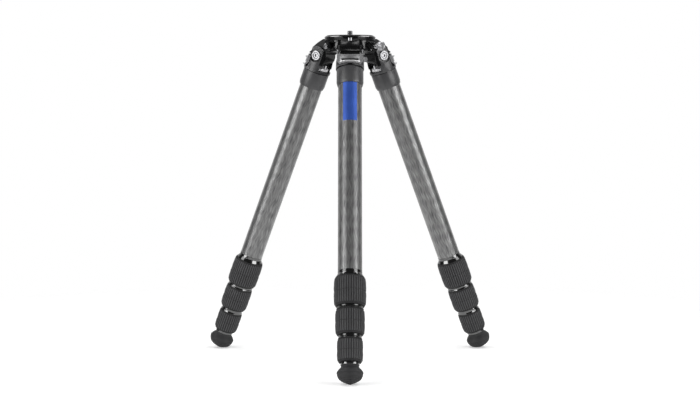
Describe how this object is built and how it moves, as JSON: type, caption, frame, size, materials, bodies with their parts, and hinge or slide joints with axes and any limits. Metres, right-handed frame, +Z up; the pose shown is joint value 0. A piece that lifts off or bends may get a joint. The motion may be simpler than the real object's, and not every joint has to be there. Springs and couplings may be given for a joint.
{
  "type": "camera tripod",
  "caption": "Carbon fibre camera tripod with a flat round platform, hinged legs with angle stops, and telescoping tubes with twist locks.",
  "frame": {"origin": "on the floor plane, at the centre of the bounding box of the standing tripod with its legs retracted and on the first angle stop; the platform axis is above y = 0.067846 m", "axes": "+Z up, along the platform axis; -Y towards the front leg; +X to the right as seen from the front leg"},
  "size_m": [0.512, 0.4496, 0.5734],
  "materials": {
    "black_casting": "satin black coating on a light alloy casting",
    "black_plate": "satin black anodised, with a bright turned chamfer",
    "pad_rubber": "thin matte black pad",
    "steel": "turned and polished",
    "bright_aluminium": "turned",
    "grey_casting": "dark grey fine texture coating",
    "titanium_grey": "satin, bare metal",
    "carbon_fibre": "fine diamond weave of carbon fibre under a clear coat",
    "gloss_black": "gloss black",
    "grip_rubber": "matte, with fine lengthwise ribs",
    "foot_rubber": "matte"
  },
  "bodies": {
    "head": {"spider": "black_casting", "platform_plate": "black_plate", "platform_pad": "pad_rubber", "ring_screw": "steel"},
    "camera_screw": {"camera_screw": "steel"},
    "lock_pin": {"lock_pin": "steel"},
    "clamp_knob": {"clamp_knob": "steel"},
    "release_knob": {"release_knob": "steel"},
    "front_leg": {"front_fork": "grey_casting", "front_hinge_bolt": "steel", "front_tube_plug": "bright_aluminium", "front_tube_1": "carbon_fibre", "front_ferrule_1": "gloss_black"},
    "front_tab": {"front_angle_tab": "titanium_grey"},
    "front_lock_ring_1": {"front_lock_1": "grip_rubber"},
    "front_section_2": {"front_tube_2": "carbon_fibre", "front_ferrule_2": "gloss_black"},
    "front_lock_ring_2": {"front_lock_2": "grip_rubber"},
    "front_section_3": {"front_tube_3": "carbon_fibre", "front_ferrule_3": "gloss_black"},
    "front_lock_ring_3": {"front_lock_3": "grip_rubber"},
    "front_section_4": {"front_tube_4": "carbon_fibre", "front_foot_mount": "gloss_black", "front_foot": "foot_rubber"},
    "right_leg": {"right_fork": "grey_casting", "right_hinge_bolt": "steel", "right_tube_plug": "bright_aluminium", "right_tube_1": "carbon_fibre", "right_ferrule_1": "gloss_black"},
    "right_tab": {"right_angle_tab": "titanium_grey"},
    "right_lock_ring_1": {"right_lock_1": "grip_rubber"},
    "right_section_2": {"right_tube_2": "carbon_fibre", "right_ferrule_2": "gloss_black"},
    "right_lock_ring_2": {"right_lock_2": "grip_rubber"},
    "right_section_3": {"right_tube_3": "carbon_fibre", "right_ferrule_3": "gloss_black"},
    "right_lock_ring_3": {"right_lock_3": "grip_rubber"},
    "right_section_4": {"right_tube_4": "carbon_fibre", "right_foot_mount": "gloss_black", "right_foot": "foot_rubber"},
    "left_leg": {"left_fork": "grey_casting", "left_hinge_bolt": "steel", "left_tube_plug": "bright_aluminium", "left_tube_1": "carbon_fibre", "left_ferrule_1": "gloss_black"},
    "left_tab": {"left_angle_tab": "titanium_grey"},
    "left_lock_ring_1": {"left_lock_1": "grip_rubber"},
    "left_section_2": {"left_tube_2": "carbon_fibre", "left_ferrule_2": "gloss_black"},
    "left_lock_ring_2": {"left_lock_2": "grip_rubber"},
    "left_section_3": {"left_tube_3": "carbon_fibre", "left_ferrule_3": "gloss_black"},
    "left_lock_ring_3": {"left_lock_3": "grip_rubber"},
    "left_section_4": {"left_tube_4": "carbon_fibre", "left_foot_mount": "gloss_black", "left_foot": "foot_rubber"}
  },
  "joints": [
    {"name": "camera_screw_turn", "type": "hinge", "parent": "head", "child": "camera_screw", "pos_m": [0, 0.06785, 0.55086], "axis": [0, 0, 1], "continuous": true},
    {"name": "lock_pin_press", "type": "slide", "parent": "head", "child": "lock_pin", "axis": [0, 0, -1], "range_m": [0, 0.0025], "stiffness_N_per_m": 600, "springref_m": -0.001},
    {"name": "clamp_knob_turn", "type": "hinge", "parent": "head", "child": "clamp_knob", "pos_m": [0.05196, 0.03785, 0.54586], "axis": [0.866, -0.5, 0], "continuous": true},
    {"name": "release_knob_turn", "type": "hinge", "parent": "head", "child": "release_knob", "pos_m": [0.01957, 0.05655, 0.53086], "axis": [0, 0, 1], "continuous": true},
    {"name": "front_leg_spread", "type": "hinge", "parent": "head", "child": "front_leg", "pos_m": [0, 0.01145, 0.53086], "axis": [-1, 0, 0], "range_deg": [-22.7, 61.3]},
    {"name": "front_tab_pull", "type": "slide", "parent": "front_leg", "child": "front_tab", "axis": [0, -0.9225, 0.3861], "range_m": [0, 0.004], "stiffness_N_per_m": 800, "springref_m": -0.001},
    {"name": "front_lock_1_turn", "type": "hinge", "parent": "front_leg", "child": "front_lock_ring_1", "pos_m": [0, -0.1507, 0.14343], "axis": [0, -0.3861, -0.9225], "range_deg": [0, 100]},
    {"name": "front_section_2_slide", "type": "slide", "parent": "front_leg", "child": "front_section_2", "axis": [0, -0.3861, -0.9225], "range_m": [0, 0.33]},
    {"name": "front_lock_2_turn", "type": "hinge", "parent": "front_section_2", "child": "front_lock_ring_2", "pos_m": [0, -0.17, 0.0973], "axis": [0, -0.3861, -0.9225], "range_deg": [0, 100]},
    {"name": "front_section_3_slide", "type": "slide", "parent": "front_section_2", "child": "front_section_3", "axis": [0, -0.3861, -0.9225], "range_m": [0, 0.33]},
    {"name": "front_lock_3_turn", "type": "hinge", "parent": "front_section_3", "child": "front_lock_ring_3", "pos_m": [0, -0.18931, 0.05118], "axis": [0, -0.3861, -0.9225], "range_deg": [0, 100]},
    {"name": "front_section_4_slide", "type": "slide", "parent": "front_section_3", "child": "front_section_4", "axis": [0, -0.3861, -0.9225], "range_m": [0, 0.33]},
    {"name": "right_leg_spread", "type": "hinge", "parent": "head", "child": "right_leg", "pos_m": [0.04884, 0.09605, 0.53086], "axis": [0.5, -0.866, 0], "range_deg": [-22.7, 61.3]},
    {"name": "right_tab_pull", "type": "slide", "parent": "right_leg", "child": "right_tab", "axis": [0.7989, 0.4612, 0.3861], "range_m": [0, 0.004], "stiffness_N_per_m": 800, "springref_m": -0.001},
    {"name": "right_lock_1_turn", "type": "hinge", "parent": "right_leg", "child": "right_lock_ring_1", "pos_m": [0.18927, 0.17712, 0.14343], "axis": [0.3343, 0.193, -0.9225], "range_deg": [0, 100]},
    {"name": "right_section_2_slide", "type": "slide", "parent": "right_leg", "child": "right_section_2", "axis": [0.3343, 0.193, -0.9225], "range_m": [0, 0.33]},
    {"name": "right_lock_2_turn", "type": "hinge", "parent": "right_section_2", "child": "right_lock_ring_2", "pos_m": [0.20599, 0.18677, 0.0973], "axis": [0.3343, 0.193, -0.9225], "range_deg": [0, 100]},
    {"name": "right_section_3_slide", "type": "slide", "parent": "right_section_2", "child": "right_section_3", "axis": [0.3343, 0.193, -0.9225], "range_m": [0, 0.33]},
    {"name": "right_lock_3_turn", "type": "hinge", "parent": "right_section_3", "child": "right_lock_ring_3", "pos_m": [0.2227, 0.19642, 0.05118], "axis": [0.3343, 0.193, -0.9225], "range_deg": [0, 100]},
    {"name": "right_section_4_slide", "type": "slide", "parent": "right_section_3", "child": "right_section_4", "axis": [0.3343, 0.193, -0.9225], "range_m": [0, 0.33]},
    {"name": "left_leg_spread", "type": "hinge", "parent": "head", "child": "left_leg", "pos_m": [-0.04884, 0.09605, 0.53086], "axis": [0.5, 0.866, 0], "range_deg": [-22.7, 61.3]},
    {"name": "left_tab_pull", "type": "slide", "parent": "left_leg", "child": "left_tab", "axis": [-0.7989, 0.4612, 0.3861], "range_m": [0, 0.004], "stiffness_N_per_m": 800, "springref_m": -0.001},
    {"name": "left_lock_1_turn", "type": "hinge", "parent": "left_leg", "child": "left_lock_ring_1", "pos_m": [-0.18927, 0.17712, 0.14343], "axis": [-0.3343, 0.193, -0.9225], "range_deg": [0, 100]},
    {"name": "left_section_2_slide", "type": "slide", "parent": "left_leg", "child": "left_section_2", "axis": [-0.3343, 0.193, -0.9225], "range_m": [0, 0.33]},
    {"name": "left_lock_2_turn", "type": "hinge", "parent": "left_section_2", "child": "left_lock_ring_2", "pos_m": [-0.20599, 0.18677, 0.0973], "axis": [-0.3343, 0.193, -0.9225], "range_deg": [0, 100]},
    {"name": "left_section_3_slide", "type": "slide", "parent": "left_section_2", "child": "left_section_3", "axis": [-0.3343, 0.193, -0.9225], "range_m": [0, 0.33]},
    {"name": "left_lock_3_turn", "type": "hinge", "parent": "left_section_3", "child": "left_lock_ring_3", "pos_m": [-0.2227, 0.19642, 0.05118], "axis": [-0.3343, 0.193, -0.9225], "range_deg": [0, 100]},
    {"name": "left_section_4_slide", "type": "slide", "parent": "left_section_3", "child": "left_section_4", "axis": [-0.3343, 0.193, -0.9225], "range_m": [0, 0.33]}
  ]
}
